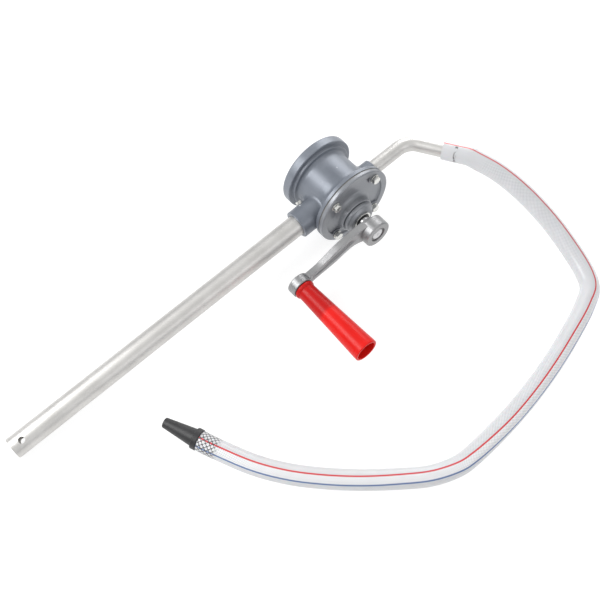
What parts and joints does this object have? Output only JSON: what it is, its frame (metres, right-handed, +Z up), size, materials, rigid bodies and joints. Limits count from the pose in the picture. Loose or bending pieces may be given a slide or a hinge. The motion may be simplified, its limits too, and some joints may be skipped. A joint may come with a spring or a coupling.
{
  "type": "drum barrel pump",
  "caption": "Hand-cranked rotary drum pump with a straight suction tube, a bent outlet pipe, a crank with a turning grip, and a hose with a nozzle.",
  "frame": {"origin": "middle of the base of the rigid pump's box, on the table it lies on", "axes": "+X along the suction tube from its foot to the pump, +Y from the crank side to the rear flange, +Z up"},
  "size_m": [0.7221, 0.4284, 0.1132],
  "materials": {
    "body_paint": "satin",
    "cover_paint": "satin",
    "gasket_fibre": "matte",
    "zinc_plate": "bright",
    "turned_steel": "turned",
    "bronze": "turned",
    "cast_aluminium": "cast",
    "vane_fibre": "satin",
    "black_rubber": "matte",
    "red_plastic": "gloss",
    "tube_aluminium": "satin",
    "clear_hose": "woven translucent"
  },
  "bodies": {
    "casing": {"pump_body": "body_paint", "cover_gasket": "gasket_fibre", "front_cover": "cover_paint", "bolt_washer_1": "zinc_plate", "bolt_washer_2": "zinc_plate", "bolt_washer_3": "zinc_plate", "bolt_washer_4": "zinc_plate", "cover_bolt_1": "zinc_plate", "cover_bolt_2": "zinc_plate", "cover_bolt_3": "zinc_plate", "cover_bolt_4": "zinc_plate", "rear_bush": "bronze", "front_bush": "bronze", "shaft_packing": "gasket_fibre", "suction_tube": "tube_aluminium", "tube_set_screw": "zinc_plate", "outlet_pipe": "tube_aluminium", "pipe_set_screw": "turned_steel", "hose_nozzle": "black_rubber", "discharge_hose": "clear_hose"},
    "crank": {"shaft": "turned_steel", "rotor": "cast_aluminium", "crank_arm": "cast_aluminium", "crank_set_screw": "turned_steel", "grip_spindle": "turned_steel"},
    "grip_sleeve": {"grip": "red_plastic"},
    "vane_a": {"vane_1": "vane_fibre"},
    "vane_b": {"vane_2": "vane_fibre"},
    "gland": {"gland_nut": "cover_paint", "gland_ring": "zinc_plate", "shaft_seal": "black_rubber"}
  },
  "joints": [
    {"name": "crank_turn", "type": "hinge", "parent": "casing", "child": "crank", "pos_m": [0.17538, 0.00964, 0.05325], "axis": [-0.0037, -0.9989, 0.0457], "continuous": true},
    {"name": "grip_spin", "type": "hinge", "parent": "crank", "child": "grip_sleeve", "pos_m": [0.05798, -0.00267, 0.03735], "axis": [-0.0037, -0.9989, 0.0457], "continuous": true},
    {"name": "vane_a_slide", "type": "slide", "parent": "crank", "child": "vane_a", "axis": [-0.7263, 0.0341, 0.6865], "range_m": [0, 0.006]},
    {"name": "vane_b_slide", "type": "slide", "parent": "crank", "child": "vane_b", "axis": [0.7263, -0.0341, -0.6865], "range_m": [0, 0.006]},
    {"name": "gland_nut_turn", "type": "hinge", "parent": "casing", "child": "gland", "pos_m": [0.17544, 0.02652, 0.05248], "axis": [-0.0037, -0.9989, 0.0457], "range_deg": [-90, 45]}
  ]
}
